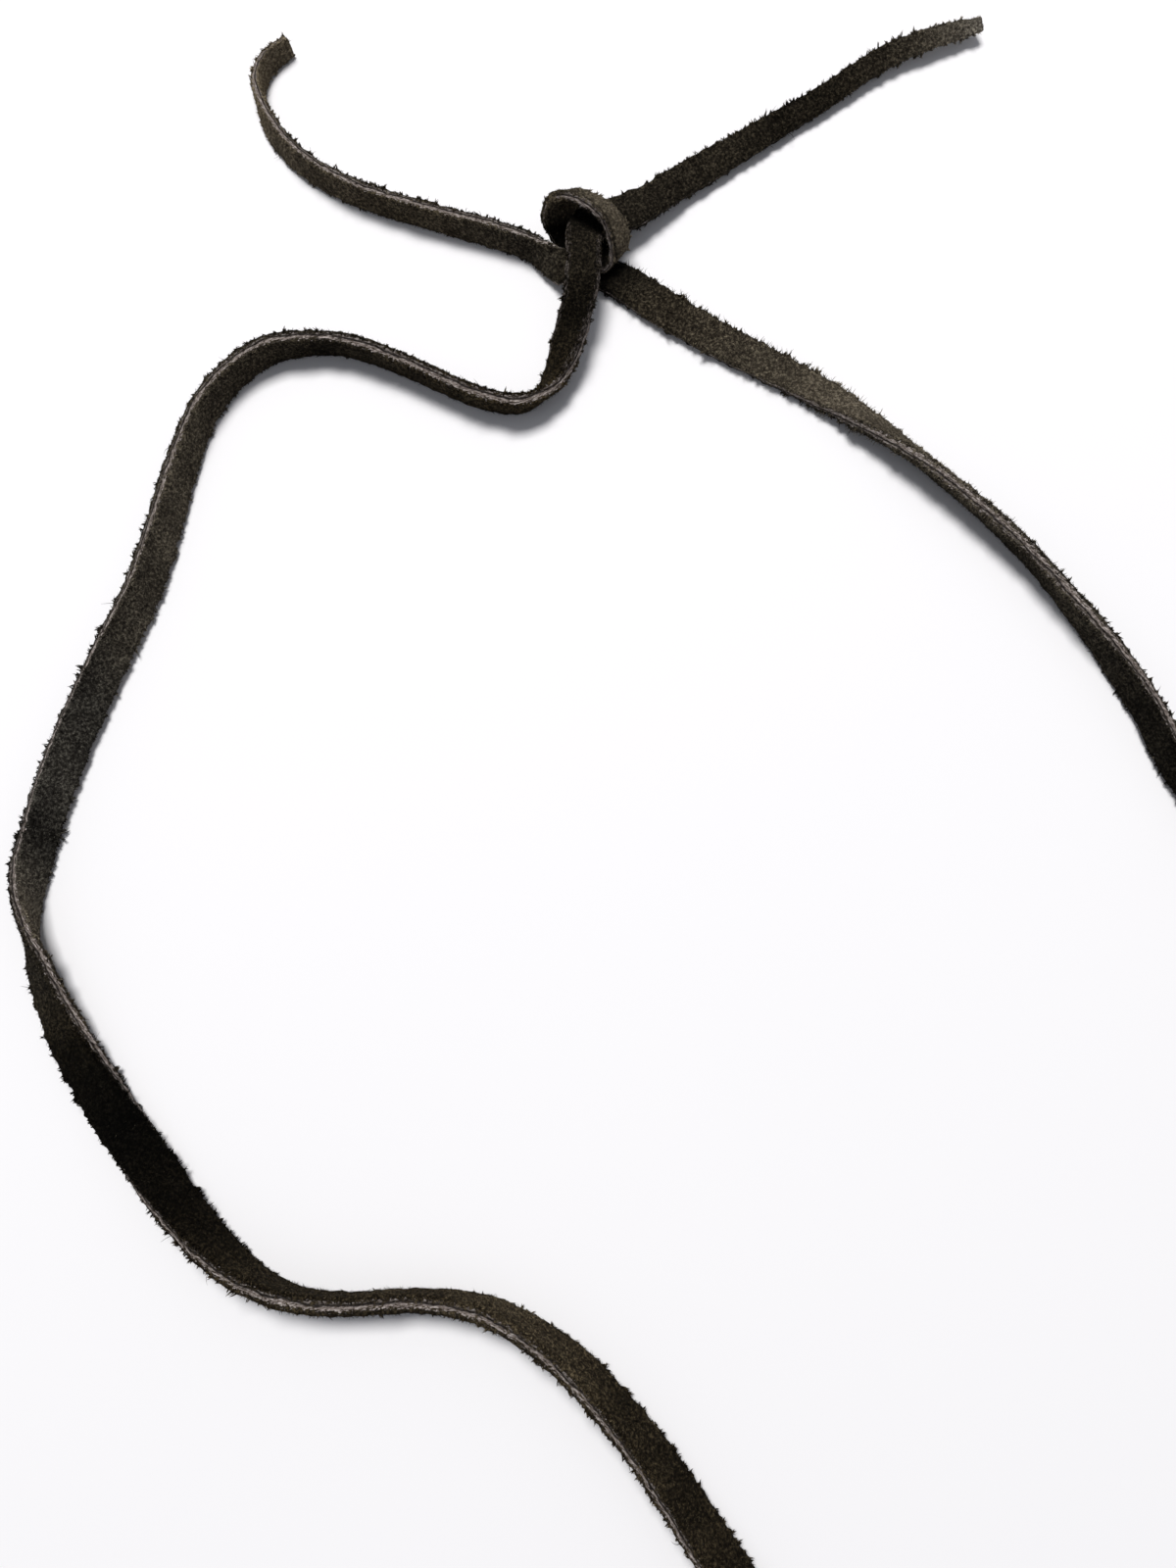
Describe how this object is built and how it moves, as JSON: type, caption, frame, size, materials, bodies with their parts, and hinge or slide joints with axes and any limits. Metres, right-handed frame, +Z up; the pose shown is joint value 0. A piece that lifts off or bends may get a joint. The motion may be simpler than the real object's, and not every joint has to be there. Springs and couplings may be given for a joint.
{
  "type": "suede cord necklace",
  "caption": "Flat suede lace knotted once into a neck loop, with two short free tails, lying on a flat surface.",
  "frame": {"origin": "on the surface it lies on, under the middle of its bounding box", "axes": "+Z up from the surface; +Y from the front of the loop towards the knot; +X to the right, where the second tail is on the left"},
  "size_m": [0.1474, 0.1958, 0.0076],
  "materials": {
    "suede": "napped, dark olive brown, with pale cut edges"
  },
  "bodies": {
    "root": {"lace": "suede"}
  },
  "joints": []
}
